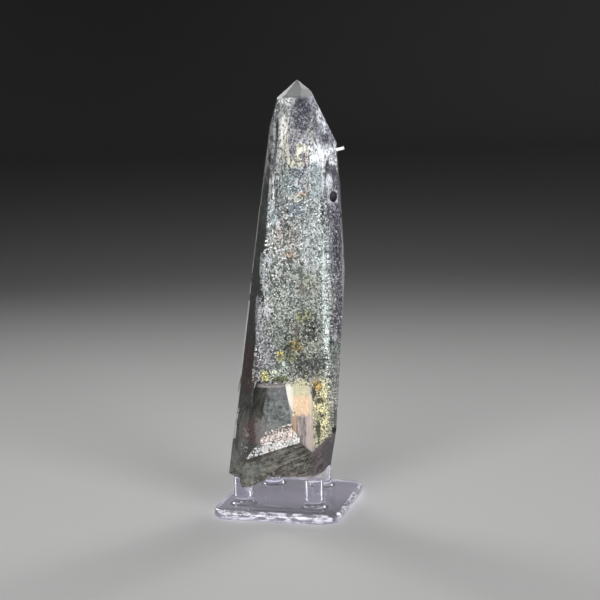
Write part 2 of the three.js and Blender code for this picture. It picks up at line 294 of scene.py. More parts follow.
# Colour of the grains in percent, at heights of the crystal from RAMP_LOW to RAMP_HIGH
RAMP_LOW = 24.0
RAMP_HIGH = 160.0
GRAIN_COLOURS = [
    (24, 60, 54, 46), (50, 58, 56, 52), (64, 52, 54, 50), (80, 67, 68, 64), (100, 98, 96, 94),
    (118, 82, 84, 85), (130, 62, 64, 68), (142, 70, 69, 72),
]

# Patches of another colour behind the broad face: the centre's x and z in the crystal's frame, how wide and
# tall it is from there, its colour in percent, and its share in percent
PATCHES = [
    (13.9, 103, 3.8, 10, (86, 93, 93), 80), (15.4, 76, 1.7, 26, (92, 96, 94), 85),
    (7, 67, 6, 10, (80, 78, 60), 50), (-7.6, 62, 4, 8, (66, 61, 68), 80),
    (2.9, 99.4, 1.9, 1.9, (84, 60, 46), 90), (2.7, 96.8, 1.2, 0.9, (12, 5, 5), 90),
    (6.6, 91.5, 1.1, 3, (14, 21, 13), 80), (6.9, 86.6, 1.4, 2.6, (28, 19, 13), 80),
    (10, 89.5, 2.8, 5, (62, 61, 48), 70), (1, 107, 4.5, 5, (84, 72, 70), 70),
    (-1, 113, 3, 4, (76, 70, 74), 60), (7.3, 76.3, 3.2, 2.4, (60, 58, 28), 90),
    (4.5, 70.4, 1.1, 3.8, (24, 15, 10), 80), (3.6, 64.8, 2.8, 2.2, (66, 48, 11), 100),
    (-1.7, 61.6, 1.6, 2.4, (92, 78, 24), 100), (1.6, 60.6, 3.6, 1.6, (52, 52, 24), 85),
    (8.8, 62.4, 2, 0.8, (66, 70, 62), 80), (-7.9, 54, 1.6, 2.3, (96, 92, 38), 100),
    (-3.8, 55.2, 2.8, 1.1, (82, 86, 70), 95), (-0.7, 57, 1.1, 2.8, (66, 75, 66), 90),
    (-2, 52.7, 3, 1.1, (20, 23, 7), 90), (12.8, 40, 3.2, 14.5, (98, 91, 58), 90),
    (11.5, 50, 1.7, 2.1, (78, 50, 14), 90), (9.9, 48, 1.1, 2.4, (5, 4, 2), 95),
    (12.5, 44.2, 1.4, 1.3, (8, 6, 2), 90), (11.6, 33.3, 1, 3.6, (6, 6, 2.5), 95),
]

# Patches in the veils just behind the faces, from the tip down; the share is also how well they cover
VEIL_PATCHES = [
    (2.9, 156.6, 2.8, 2, (59, 59, 59), 90), (2.2, 153, 1.8, 2.4, (20, 20, 19), 80),
    (1.9, 146, 1.7, 6, (64, 61, 57), 95), (1.8, 138, 2, 5, (45, 43, 37), 90),
    (8.4, 151, 3.2, 8.6, (3, 2.5, 5), 95), (5.4, 141.5, 1.9, 4, (20, 18, 20), 95),
    (8, 141, 2.2, 1.6, (44, 43, 49), 95), (7.6, 137.8, 2.6, 2.8, (74, 70, 58), 95),
    (4.9, 137.8, 1.5, 1.3, (10, 7, 10), 95), (5.9, 133.5, 3.4, 2, (60, 57, 44), 95),
    (8.6, 135, 1.3, 1.7, (14, 9, 8), 95), (10.3, 135.5, 0.9, 2.8, (40, 28, 24), 90),
    (13.4, 136.4, 3.2, 4.8, (84, 84, 88), 98), (-2.7, 125.5, 0.28, 6.5, (60, 61, 61), 95),
    (-1.6, 124.7, 0.8, 3, (6, 7, 6), 90), (1, 126, 1.4, 7, (22, 25, 22), 70),
    (13.1, 126, 3, 8, (34, 39, 40), 80), (5.2, 125.6, 4, 5, (13, 17, 18), 80),
    (6.8, 129.8, 2.8, 1.7, (5, 6, 9), 90), (6.3, 126, 1.6, 1.5, (56, 53, 57), 90),
    (9.7, 124.6, 0.9, 1.8, (20, 14, 10), 90), (7.5, 121.5, 1.8, 1.3, (56, 38, 30), 95),
    (5, 120.4, 2.8, 1.6, (38, 38, 31), 85), (5.8, 116, 3.8, 2.5, (10, 13, 16), 85),
    (15.5, 126.5, 0.45, 5.6, (62, 64, 67), 90), (-3.3, 114.6, 1.7, 4.2, (34, 41, 42), 80),
    (-1.4, 110.2, 1, 2.4, (56, 51, 51), 70), (-5.6, 97.4, 1.8, 2.4, (47, 48, 51), 95),
    (-5.9, 85.3, 1.2, 1.8, (18, 23, 24), 90), (-7.2, 86.5, 0.4, 6, (40, 45, 47), 80),
    (-6.2, 78.6, 2, 3.4, (52, 50, 53), 85), (-11.2, 56, 1.3, 7, (34, 31, 36), 70),
    (-9.2, 72, 1.3, 11, (36, 35, 38), 65), (-6.9, 92, 1.2, 8, (38, 40, 42), 65),
    (-4.6, 106, 1, 6, (36, 38, 38), 65), (11, 103, 5.5, 14, (58, 61, 61), 45),
    (15.6, 84, 1.7, 26, (61, 66, 65), 55), (-3.8, 55.4, 2.8, 0.8, (60, 62, 50), 90),
    (-0.8, 57.4, 0.8, 2.6, (48, 54, 48), 85), (11.6, 33.3, 0.8, 3.2, (6, 6, 3), 95),
    (10.3, 47.5, 1, 2.6, (5, 4, 2), 95), (11.5, 49.6, 1.6, 1.8, (62, 40, 12), 95),
    (12.6, 44.4, 1.3, 1.2, (8, 6, 2), 90),
    # behind the shoulder
    (13, 149.5, 1.3, 4, (20, 20, 20), 90), (14.4, 150.5, 0.9, 3.4, (84, 83, 88), 95),
    (16.3, 145.6, 1, 3, (80, 79, 86), 95), (16.6, 141.4, 1.4, 2.1, (10, 9, 13), 90),
    (19.6, 140, 1.5, 3, (21, 19, 24), 80),
    # behind the right face
    (18, 135.4, 4.2, 4.2, (86, 86, 90), 98), (21, 133, 0.8, 4, (80, 80, 84), 90),
    (17, 132.1, 0.7, 1.8, (5, 4, 7), 95), (16.6, 128.2, 0.7, 2.6, (5, 4, 7), 95),
    (19.2, 129.2, 1.1, 1.8, (7, 6, 9), 95), (17.5, 125.4, 1.5, 3.3, (86, 84, 90), 98),
    (18.7, 119.6, 2.1, 4, (76, 74, 80), 95), (18.6, 112.4, 1.8, 3.4, (19, 17, 22), 90),
    (17.7, 106, 1, 4.5, (41, 42, 45), 90), (20.9, 103, 1.7, 7, (4, 4, 6), 95),
    (18.6, 95, 1, 5, (18, 18, 22), 90), (17.9, 81, 0.8, 3, (41, 39, 36), 90),
    (18.3, 68.2, 0.8, 2.6, (52, 52, 52), 95),
    # behind the bevel and the left face
    (-4, 142, 3, 15, (22, 22, 22), 85), (-0.2, 153.4, 0.7, 2.4, (8, 8, 8), 90),
    (-0.8, 149.5, 0.6, 2.2, (7, 7, 8), 90), (-2.4, 142.4, 0.8, 1.1, (5, 5, 5), 90),
    (-3, 135, 1, 2.4, (2, 2, 2), 95), (-3.9, 129.6, 0.7, 2.6, (3, 3, 3), 95),
    (-14.5, 57, 5, 10, (4, 2, 1.5), 97), (-14, 33, 5.5, 9.5, (1.2, 1.2, 1), 0),
]

# Where most of the grains behind the broad face are dark: centre, how wide and tall, and share in percent
SHADOWS = [
    (9.8, 71.4, 2.8, 3.8, 90), (8.6, 57, 4.4, 3.8, 90), (0.7, 66.7, 1.4, 3.2, 90), (5.4, 61, 2, 1.4, 60),
    (3, 94.4, 2.6, 2, 50), (5, 64, 9, 10, 32),
]


def scaled(height):
    return (height - RAMP_LOW) / (RAMP_HIGH - RAMP_LOW)


def mineral_colour(finish):
    """Colour of the grains, by height and by patch."""
    share = scaled(finish.z + (finish.noise(0.12, 3) - 0.5) * 18)
    colour = finish.ramp(share, [(scaled(height), percent(tint)) for height, *tint in GRAIN_COLOURS])
    return finish.painted(colour, PATCHES)


def shadow_at(finish):
    """Up to 1 where the grains behind the broad face are mostly dark, and 0 elsewhere."""
    mottle = finish.noise(0.8, 4, 0.6)
    edge = (mottle - 0.5) * 2.6
    shadow = sum(finish.patch(*where, edge) * (share / 100) for *where, share in SHADOWS)
    return finish.step(shadow, 0, 1) * finish.step(mottle, 0.64, 0.46)


def grain_finish(name, tint=None, dark_share=0.3, dark=(0.04, 0.045, 0.045)):
    """Small mineral grains: most of them pale, dark_share of them dark, each with its own shade."""
    finish = Finish(name)
    shade = finish.attribute("shade")
    colour = tint or mineral_colour(finish)
    cloud = finish.noise(0.28, 4, 0.6)
    bright = finish.mix(colour, finish.times(colour, (1.25, 1.25, 1.25)), finish.step(shade, 0.6, 1))
    toned = finish.mix(bright, dark, finish.step(cloud, 0.48, 0.7) * (0.3 if tint else 0.6))
    if not tint:
        shadow = shadow_at(finish)
        dark = finish.mix(dark, (0.004, 0.004, 0.006), shadow)
        shade = shade - shadow * 0.42
    grains = finish.mix(dark, toned, finish.step(shade, dark_share, dark_share + 0.18))
    return finish.solid(base_color=grains, roughness=0.55 - shade * 0.15, specular_ior_level=0.4)


def dust_finish(name, dark, pale, pale_share):
    """Dark mineral dust with a few pale flakes in it."""
    finish = Finish(name)
    shade = finish.attribute("shade")
    cloud = finish.noise(1, 4, 0.6, stretch=(0.5, 0.5, 0.12))
    base = finish.mix([part * 0.35 for part in dark], dark, cloud * 0.6 + shade * 0.4)
    colour = finish.mix(base, pale, finish.step(shade, 1 - pale_share, 1.02 - pale_share))
    return finish.solid(base_color=colour, roughness=0.5 - cloud * 0.1)


def veil_finish(name, colour, cover, fade, flecks):
    """A veil in the quartz, mottled and half clear. It covers well at its patches, and elsewhere by cover,
    which rises from nothing to its full value between the two heights of fade."""
    finish = Finish(name)
    swirl = finish.noise(0.8, 4, 0.65, 1.4, stretch=(1, 1, 0.5))
    fine = finish.noise(1.5, 3, 0.65, 1.0, stretch=(1, 1, 0.7))
    edge = (finish.noise(0.7, 4) - 0.5) * 1.2
    thick = finish.step(finish.z, *fade) * cover
    for *where, tint, share in VEIL_PATCHES:
        near = finish.patch(*where, edge)
        colour = finish.mix(colour, percent(tint), near)
        thick = thick + near * (share / 100 - thick)
    mottle = swirl * 0.6 + fine * 0.4
    dark = finish.mix(colour, (0.01, 0.01, 0.015), 0.92)
    shaded = finish.mix(dark, colour, finish.step(mottle, 0.435, 0.52))
    flecked = finish.mix(shaded, (0.80, 0.80, 0.84), finish.step(fine, 0.55, 0.64) * flecks)
    alpha = finish.step(thick + (swirl - 0.5) * 0.9, 0.25, 0.75)
    relief = finish.bump(mottle, 0.6, 0.0003)
    return finish.solid(base_color=flecked, roughness=0.35 + fine * 0.2, alpha=alpha, normal=relief)


# Colour of the phantom's left side, from its foot up
SIDE_COLOURS = [
    (0, (0.045, 0.027, 0.020)),
    (0.3, (0.045, 0.032, 0.024)),
    (0.5, (0.045, 0.048, 0.036)),
    (1, (0.06, 0.068, 0.055)),
]


def phantom_finish():
    """The earlier crystal: dark green-grey, mottled and speckled, darker and browner on its left side."""
    finish = Finish("phantom_quartz")
    fine = finish.cells(1.7)
    coarse = finish.noise(0.35, 5, 0.65)
    speck = finish.step(fine * 0.75 + coarse * 0.5, 0.58, 0.86)
    dark = finish.mix((0.03, 0.036, 0.032), (0.16, 0.18, 0.165), coarse)
    pale = finish.mix(dark, mineral_colour(finish), speck * 0.55)
    speckled = finish.mix(pale, (0.006, 0.006, 0.008), shadow_at(finish) * 0.7)
    normal = finish.node("TexCoord", output="Normal")
    left = way_in_scene(facing(-75, 7))
    toward_left = finish.node("VectorMath", {0: normal, 1: left}, output=1, operation="DOT_PRODUCT")
    side_base = finish.ramp(scaled(finish.z), SIDE_COLOURS)
    side_speck = finish.step(fine + (finish.noise(0.2, 3) - 0.5), 0.9, 1.02)
    side_colour = finish.mix(side_base, (0.16, 0.15, 0.13), side_speck * 0.5)
    colour = finish.mix(speckled, side_colour, finish.step(toward_left, 0.2, 0.6))
    relief = finish.bump(fine + coarse, 0.5, 0.0002)
    return finish.solid(base_color=colour, roughness=0.62 - speck * 0.2, normal=relief)


def feldspar_finish():
    """Cream at the top, peach in the block, lilac-grey and half clear in the column, with cleavage lines."""
    finish = Finish("feldspar")
    x = finish.x
    lines = finish.noise(1.1, 4, 0.65, stretch=(1.8, 0.6, 0.35))
    grain = finish.noise(1.3, 5, 0.65)
    level = finish.z + (grain - 0.5) * 2.4
    peach = finish.mix((0.50, 0.30, 0.18), (0.78, 0.60, 0.42), grain * 2.4 + lines * 1.8 - 1.5)
    cream = finish.mix((0.36, 0.33, 0.20), (0.66, 0.62, 0.46), grain * 1.8 - 0.4)
    lilac = finish.mix((0.08, 0.065, 0.065), (0.42, 0.35, 0.33), lines * 2.6 - 0.85)
    across = x + (lines - 0.5) * 2
    rust = finish.mix(lilac, (0.48, 0.29, 0.15), (1 - finish.step(across, 2.6, 4)) * 0.7)
    pink = finish.mix(rust, (0.54, 0.42, 0.39), finish.step(across, 6.4, 7.4) * 0.6)
    upper = finish.mix(peach, cream, finish.step(level, 44.6, 47.4))
    wedge = finish.mix(upper, (0.70, 0.68, 0.62), 1 - finish.step(x + (grain - 0.5) * 2.4, 1.2, 3.2))
    block = finish.mix(pink, wedge, finish.step(level, 37.8, 39.4))
    flank = finish.step(x + (grain - 0.5) * 1.2, 8.0, 8.8)
    colour = finish.mix(block, (0.58, 0.49, 0.45), flank * (lines * 1.6 - 0.05))
    relief = finish.bump(lines + grain * 0.6, 0.7, 0.0003)
    return finish.solid(base_color=colour, roughness=0.3 + grain * 0.25, normal=relief)


SMALL_QUARTZ_SPOTS = [
    (-13.2, 32.6, 2.6, 4.4, (5, 2.2, 2.4), 85), (-10.6, 33, 1.9, 5.4, (17, 14.5, 14.5), 70),
    (-5, 34, 5, 3, (18, 17.5, 17), 50), (-6.8, 50.4, 6.8, 1, (42, 37, 38), 70),
]


def small_quartz_finish():
    """Grey-teal facets, olive and dark towards the left, plum low down, with a pale lilac rim on top."""
    finish = Finish("small_quartz")
    x = finish.x
    z = finish.z
    lines = finish.noise(1, 4, 0.6, stretch=(0.2, 0.2, 1.1))
    cloud = finish.noise(0.2, 5, 0.6)
    fine = finish.noise(1.4, 5, 0.75)
    tilted = finish.turned(-28)
    rays = finish.noise(1, 4, 0.6, stretch=(1.2, 0.4, 0.12), place=tilted)
    scratches = finish.step(finish.noise(1, 3, 0.6, stretch=(2.4, 1, 0.5), place=tilted), 0.56, 0.7)
    blotch = finish.noise(0.65, 6, 0.75)
    tone = cloud * 1.5 + blotch * 3.6 + lines * 0.8 - 2.5
    teal = finish.mix((0.02, 0.026, 0.025), (0.21, 0.23, 0.22), tone)
    teal = finish.mix(teal, (0.12, 0.11, 0.125), finish.step(z + x * 0.5 + cloud * 4, 42, 48) * 0.7)
    scratched = finish.mix(teal, (0.40, 0.40, 0.40), scratches * 0.5)
    olive = finish.mix((0.006, 0.007, 0.005), (0.09, 0.09, 0.07), rays * 2.6 + blotch * 0.8 - 1.45)
    beside = x + (49.5 - z) * 0.2 + (cloud - 0.5) * 0.8
    colour = finish.mix(olive, scratched, finish.step(beside, -7.6, -6.8))
    colour = finish.painted(colour, SMALL_QUARTZ_SPOTS)
    return finish.solid(
        base_color=finish.mix(colour, (0.01, 0.01, 0.01), finish.step(fine, 0.55, 0.8) * 0.5),
        roughness=0.22 + lines * 0.14,
        coat_weight=0.4,
        coat_roughness=0.1,
        normal=finish.bump(lines * 0.3 + cloud + rays * 0.4, 0.5, 0.0003),
    )


def clear_quartz_finish():
    """Clear quartz: polished growth faces with fine lines, frosted at the tip and along the worn edges,
    which also get a painted white highlight.
    """
    finish = Finish("clear_quartz")
    worn_and_highlight = finish.attribute("worn_and_highlight")
    growth = finish.noise(1, 4, 0.6, stretch=(0.05, 0.05, 1.1))
    waves = finish.noise(0.09, 2, 0.4)
    grit = finish.noise(2.4, 4, 0.6)
    tip = finish.step(finish.z + (grit - 0.5) * 1.2, TIP_LOWER_EDGE - 0.4, TIP_LOWER_EDGE + 0.4)
    frosted = tip + worn_and_highlight * (1 - tip)
    glass = finish.principled(
        base_color=finish.mix((0.985, 0.995, 0.99), (0.66, 0.66, 0.68), frosted * (grit * 0.4 + 0.6)),
        roughness=0.012 + growth * 0.02 + frosted * (0.42 + grit * 0.2),
        ior=1.544,
        transmission_weight=1.0,
        normal=finish.bump(growth * 0.12 + waves * 0.5 + frosted * grit * 0.25, 0.55, 0.0002),
    )
    # Painted highlight: opaque white mixed into the worn edges, standing in for the lamps' bright lines along
    # them
    painted_highlight = finish.principled(base_color=(0.95, 0.96, 0.97), roughness=0.4)
    share = worn_and_highlight * (1 - tip) * (grit + 0.6)
    return finish.clear(glass, painted_highlight, share, (0.93, 0.95, 0.94), (0.72, 0.80, 0.74), 6.0)


BROKEN_QUARTZ_SPOTS = [
    (-14, 18, 5, 2.6, (15, 17, 16), 40), (-15, 22.5, 4, 1.4, (2.5, 2.2, 1.6), 70),
    (-1.5, 16.8, 2.6, 1.2, (9, 5, 5), 40), (4.5, 15.4, 5, 0.9, (20, 17, 13), 50),
    (15, 24, 2, 6, (5.5, 5, 6), 70),
]


def broken_quartz_finish():
    """The broken base: dark olive-grey with ridges rising to the right, where it is pinker and smoother."""
    finish = Finish("broken_quartz")
    x = finish.x
    ridges = finish.noise(1, 6, 0.72, 0.6, stretch=(0.14, 0.5, 1.7), place=finish.turned(18))
    cloud = finish.noise(0.4, 6, 0.78)
    grit = finish.noise(1.3, 5, 0.8)
    ridged = finish.step(x + finish.z * 0.6 + (cloud - 0.5) * 8, 8, 15)
    rough = (cloud - 0.5) * 3.5 + (grit - 0.5) * 3.0
    tone = (ridges - 0.5) * (1.4 + ridged * 3) + rough + 0.42
    left = finish.mix((0.012, 0.011, 0.009), (0.22, 0.21, 0.18), tone)
    right = finish.mix((0.015, 0.012, 0.013), (0.17, 0.14, 0.135), rough * 0.8 + 0.42)
    smooth = finish.step(x + (cloud - 0.5) * 3, 7.5, 10)
    return finish.solid(
        base_color=finish.painted(finish.mix(left, right, smooth), BROKEN_QUARTZ_SPOTS),
        roughness=0.42 + cloud * 0.2,
        coat_weight=0.1 - smooth * 0.05,
        coat_roughness=0.25,
        normal=finish.bump(ridges * (0.5 + ridged * 0.6) + cloud + grit * 0.5, 0.8, 0.0006),
    )


def needle_finish():
    """The small needle: milky white quartz with fine lines along it."""
    finish = Finish("needle_quartz")
    lines = finish.noise(1, 3, 0.6, stretch=(0.2, 2.4, 2.4))
    colour = finish.mix((0.80, 0.81, 0.86), (0.98, 0.98, 1.0), lines)
    return finish.solid(base_color=colour, roughness=0.22 + lines * 0.1)


def acrylic_finish():
    """Clear polished acrylic with a faint lilac tint, and a painted highlight: whitish patches where the rim
    attribute says so.
    """
    finish = Finish("acrylic")
    haze = finish.noise(0.5, 5, 0.6)
    streaks = finish.noise(1, 3, 0.6, stretch=(0.06, 0.7, 0.4))
    relief = finish.bump(haze + streaks, 0.12, 0.0001)
    glass = finish.principled(
        base_color=finish.mix((0.93, 0.92, 0.98), (0.98, 0.98, 1.0), haze),
        roughness=0.02 + haze * streaks * 0.10,
        ior=1.49,
        transmission_weight=1.0,
        normal=relief,
    )
    # Painted highlight: an opaque whitish-lilac shader mixed in along the rim in patches, standing in for
    # reflections
    bright = finish.principled(base_color=(0.88, 0.86, 0.98), roughness=0.12, normal=relief)
    painted_glints = finish.step(finish.noise(1, 3, 0.6, stretch=(0.28, 0.28, 0.9)), 0.42, 0.62)
    share = finish.attribute("rim") * (0.12 + painted_glints * 0.6)
    return finish.clear(glass, bright, share, (0.95, 0.94, 0.99), (0.70, 0.66, 0.90), 7.0)


def void_shade_finish():
    """The flat round hollow behind the right face, as an opaque dark and glossy lens: painted shade where the
    hollow looks dark.
    """
    finish = Finish("round_void")
    cloud = finish.noise(0.7, 4, 0.6)
    colour = finish.mix((0.012, 0.01, 0.016), (0.09, 0.08, 0.11), cloud * 1.6 - 0.5)
    return finish.solid(base_color=colour, roughness=0.15 + cloud * 0.1)


def floor_finish():
    """Plain pale grey, a little mottled."""
    finish = Finish("floor")
    colour = (0.42, 0.415, 0.41)
    tone = finish.mix(colour, [part * 0.97 for part in colour], finish.noise(6, 2, place=finish.scene_place))
    return finish.solid(base_color=tone, roughness=0.7)


# Making pieces

SMOOTH_ANGLE = radians(32)
SAME_CORNER = 0.001 * MM


def new_object(name, data):
    made = bpy.data.objects.new(name, data)
    bpy.context.scene.collection.objects.link(made)
    return made


def new_piece(name, mesh, materials, slot, *replaced):
    """A finished piece of the object: its place is in its mesh, and it rides on the only body."""
    for material in materials:
        mesh.materials.append(material)
    piece = new_object(name, mesh)
    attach(piece, "root")
    if replaced:
        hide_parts(*replaced)


def mesh_of(shape, name):
    mesh = bpy.data.meshes.new(name)
    shape.to_mesh(mesh)
    shape.free()
    return mesh


def turn_outward(shape):
    bmesh.ops.recalc_face_normals(shape, faces=shape.faces)


def smooth_mesh_of(shape, name):
    """The mesh of a closed shape, smooth but for its sharp edges."""
    turn_outward(shape)
    mesh = mesh_of(shape, name)
    mesh.shade_smooth()
    mesh.set_sharp_from_angle(angle=SMOOTH_ANGLE)
    return mesh


def round_edges(shape, edges, offset):
    """Round edges off in two steps, and give the new faces."""
    settings = {"offset": offset, "segments": 2, "profile": 0.5, "affect": "EDGES", "clamp_overlap": True}
    return bmesh.ops.bevel(shape, geom=edges, **settings)["faces"]


def closed_skin(node):
    """A node's mesh with its doubled corners merged, as a shape to work on."""
    shape = bmesh.new()
    shape.from_mesh(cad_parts[node].data)
    bmesh.ops.remove_doubles(shape, verts=shape.verts, dist=SAME_CORNER)
    return shape


# The clear crystal

INNER_NODES = ("phantom", "feldspar", "small_quartz")
POCKET_REACH = 1.0 * MM
ON_PARTING = 0.01
FLAT_ANGLE = radians(0.6)
EDGE_ROUND = 0.46 * MM
SHARP_ANGLE = radians(12)
LONG_EDGE = 2.5 * MM

# The tip is frosted from TIP_LOWER_EDGE. Edges more than the next distance behind the broad face are frosted
# as worn, and also get a painted white highlight
TIP_LOWER_EDGE = 157.1
WORN_AND_HIGHLIT_BEHIND = 2.5

# The needle is white. Broken faces lie below BREAK_TOP
NEEDLE_FROM = 21.9
NEEDLE_HEIGHTS = (136, 139)
BREAK_TOP = 32.0
SAME_WAY = cos(radians(3))
SAME_PLANE = 0.6

# The left face is broken below a plane through a place, with its upward way
CORNER_PLACE = Vector((-22.7, 0, 16.0))
CORNER_WAY = Vector((-1.19, 0, 1)).normalized()

# What finish_of gives
CLEAR = 0
BROKEN = 1
NEEDLE = 2


def half_skin(node, side):
    """The outer skin of one half of the clear crystal, without its pocket and its parting face."""
    half = closed_skin(node)
    inner = [BVHTree.FromBMesh(closed_skin(name)) for name in INNER_NODES]
    place = PARTING + side * GAP / 2
    buried = []
    for face in half.faces:
        middle = face.calc_center_median()
        on_parting = all(abs((SCENE_TO_CRYSTAL @ corner.co).y - place) < ON_PARTING for corner in face.verts)
        near = [tree.find_nearest(middle, POCKET_REACH)[0] for tree in inner]
        in_pocket = any(hit and (hit - middle).dot(face.normal) > 0 for hit in near)
        if on_parting or in_pocket:
            buried.append(face)
    bmesh.ops.delete(half, geom=buried, context="FACES")
    drop_loose(half)
    return half


def drop_loose(shape):
    """Delete the faces that don't hang together with the topmost corner."""
    found = {max(shape.verts, key=lambda corner: corner.co.z)}
    reached = list(found)
    while reached:
        corner = reached.pop()
        for edge in corner.link_edges:
            other = edge.other_vert(corner)
            if other not in found:
                found.add(other)
                reached.append(other)
    loose = [corner for corner in shape.verts if corner not in found]
    bmesh.ops.delete(shape, geom=loose, context="VERTS")


def open_borders(shape):
    """Each open border of a shape as its corners in order, from the topmost one."""
    edges_at = {}
    for edge in shape.edges:
        if len(edge.link_faces) == 1:
            for corner in edge.verts:
                edges_at.setdefault(corner, []).append(edge)
    left = list(edges_at)
    borders = []
    while left:
        loop = [max(left, key=lambda corner: corner.co.z)]
        edge = edges_at[loop[0]][0]
        while edge.other_vert(loop[-1]) != loop[0]:
            loop.append(edge.other_vert(loop[-1]))
            edge = next(other for other in edges_at[loop[-1]] if other != edge)
        left = [corner for corner in left if corner not in loop]
        borders.append(loop)
    return borders


def flat_area(loop):
    """Signed area of a border, seen square to the parting plane."""
    points = [SCENE_TO_CRYSTAL @ corner.co for corner in loop]
    return sum(a.x * b.z - b.x * a.z for a, b in zip(points, points[1:] + points[:1])) / 2


def bridge(shape, first, second):
    """Close the gap between two borders with a strip of triangles."""
    if flat_area(first) * flat_area(second) < 0:
        second = [second[0], *reversed(second[1:])]
    here = 0
    there = 0
    while here < len(first) or there < len(second):
        a = first[here % len(first)]
        b = second[there % len(second)]
        next_a = first[(here + 1) % len(first)]
        next_b = second[(there + 1) % len(second)]
        nearer = (next_a.co - b.co).length <= (a.co - next_b.co).length
        if there == len(second) or (nearer and here < len(first)):
            shape.faces.new((a, next_a, b))
            here += 1
        else:
            shape.faces.new((a, next_b, b))
            there += 1


def looks_like(face, name):
    """True for a face that looks the same way as one of the crystal's grown faces."""
    return in_crystal(face.normal).dot(facing(*FACES[name][:2])) > SAME_WAY


def is_grown(face):
    """True for a face that the crystal grew, and False where it is broken."""
    middle = middle_of(face)
    return any(looks_like(face, name) and abs(before_face(name, middle)) < SAME_PLANE for name in FACES)


def part_corner(shape):
    """Part the left face along the plane below which it is broken."""
    whole_face = [face for face in shape.faces if looks_like(face, "left")]
    rims = dict.fromkeys(part for face in whole_face for part in (*face.edges, *face.verts))
    plane = {"plane_co": in_scene(CORNER_PLACE), "plane_no": way_in_scene(CORNER_WAY)}
    bmesh.ops.bisect_plane(shape, geom=[*whole_face, *rims], dist=SAME_CORNER, **plane)


def finish_of(face):
    """Which of the crystal's three finishes a face has."""
    middle = middle_of(face)
    if middle.x > NEEDLE_FROM and NEEDLE_HEIGHTS[0] < middle.z < NEEDLE_HEIGHTS[1]:
        return NEEDLE
    if looks_like(face, "left") and (middle - CORNER_PLACE).dot(CORNER_WAY) < 0:
        return BROKEN
    return BROKEN if middle.z < BREAK_TOP and not is_grown(face) else CLEAR


def make_clear_crystal():
    """The clear crystal as one closed piece: the skins of its halves, joined across the parting plane."""
    whole = bmesh.new()
    for node, side in (("crystal_front", -1), ("crystal_back", 1)):
        skin = mesh_of(half_skin(node, side), node + "_skin")
        whole.from_mesh(skin)
        bpy.data.meshes.remove(skin)
    bridge(whole, *open_borders(whole))
    turn_outward(whole)
    worn_and_highlight = whole.faces.layers.float.new("worn_and_highlight")
    bmesh.ops.dissolve_limit(whole, angle_limit=FLAT_ANGLE, verts=whole.verts, edges=whole.edges)
    convex = [edge for edge in whole.edges if edge.calc_length() > LONG_EDGE and edge.is_convex]
    sharp = [edge for edge in convex if edge.calc_face_angle(0) > SHARP_ANGLE]
    # Edges well behind the broad face are marked as worn: this frosts them and also carries the painted white
    # highlight
    for face in round_edges(whole, sharp, EDGE_ROUND):
        face[worn_and_highlight] = float(before_face("front", middle_of(face)) < -WORN_AND_HIGHLIT_BEHIND)
    part_corner(whole)
    for face in whole.faces:
        face.material_index = finish_of(face)
    mesh = mesh_of(whole, "clear_quartz")
    finishes = [clear_quartz_finish(), broken_quartz_finish(), needle_finish()]
    new_piece("clear_quartz", mesh, finishes, "clear_quartz", "crystal_front", "crystal_back")


# The stand

PLATE_SIDE = 50.0
PLATE_THICKNESS = 3.8
PLATE_CORNER_RADIUS = 6.8
PLATE_EDGE_ROUND = 1.7
PEG_RADIUS = 3.6
PEG_HEIGHT = 10.8
PEG_TOP = PLATE_THICKNESS + PEG_HEIGHT
PEG_FOOT_FILLET = 1.9
PEG_RIM_ROUND = 0.3
PEG_PLACES = [(13.4, -13.6), (-14.8, -12.8), (-10.75, 15.45), (9.2, 15.65)]
CORNER_STEPS = 14
ROUND_STEPS = 10
PEG_SIDES = 64

# The plate's rounded edge gets a painted highlight: how wide that rim is, and the height it starts at. The
# tops and the feet of the pegs get a share of it
HIGHLIGHT_RIM_WIDTH = 1.6
HIGHLIGHT_RIM_FROM = 0.3
TOP_HIGHLIGHT_SHARE = 0.8
FOOT_HIGHLIGHT_SHARE = 0.5


def quarter_turn(steps):
    """Angles from 0 to a quarter turn."""
    return [step / steps * pi / 2 for step in range(steps + 1)]


def circle(radius, sides, x=0, y=0):
    turns = [tau * side / sides for side in range(sides)]
    return [(x + radius * cos(turn), y + radius * sin(turn)) for turn in turns]


def plate_outline(inset):
    """Corner points of the plate's rounded square, moved in by inset."""
    middle = PLATE_SIDE / 2 - PLATE_CORNER_RADIUS
    radius = PLATE_CORNER_RADIUS - inset
    points = []
    for quarter, (side_x, side_y) in enumerate([(1, 1), (-1, 1), (-1, -1), (1, -1)]):
        for step in range(CORNER_STEPS + 1):
            angle = (quarter + step / CORNER_STEPS) * pi / 2
            points.append((side_x * middle + radius * cos(angle), side_y * middle + radius * sin(angle)))
    return points


def ring(shape, points, height):
    return [shape.verts.new((x * MM, y * MM, height * MM)) for x, y in points]


def join_rings(shape, lower, upper):
    for index, corner in enumerate(lower):
        after = (index + 1) % len(lower)
        shape.faces.new((corner, lower[after], upper[after], upper[index]))


def stack_rings(shape, rings):
    """Join each ring to the one above it."""
    for lower, upper in zip(rings, rings[1:]):
        join_rings(shape, lower, upper)


def peg_profile():
    """Radius and height of a peg's rings, from the foot of its fillet to its flat top."""
    profile = []
    for angle in quarter_turn(ROUND_STEPS):
        out = PEG_FOOT_FILLET * (1 - sin(angle))
        profile.append((PEG_RADIUS + out, PLATE_THICKNESS + PEG_FOOT_FILLET * (1 - cos(angle))))
    for angle in quarter_turn(ROUND_STEPS):
        inward = PEG_RIM_ROUND * (1 - cos(angle))
        profile.append((PEG_RADIUS - inward, PEG_TOP - PEG_RIM_ROUND * (1 - sin(angle))))
    return profile


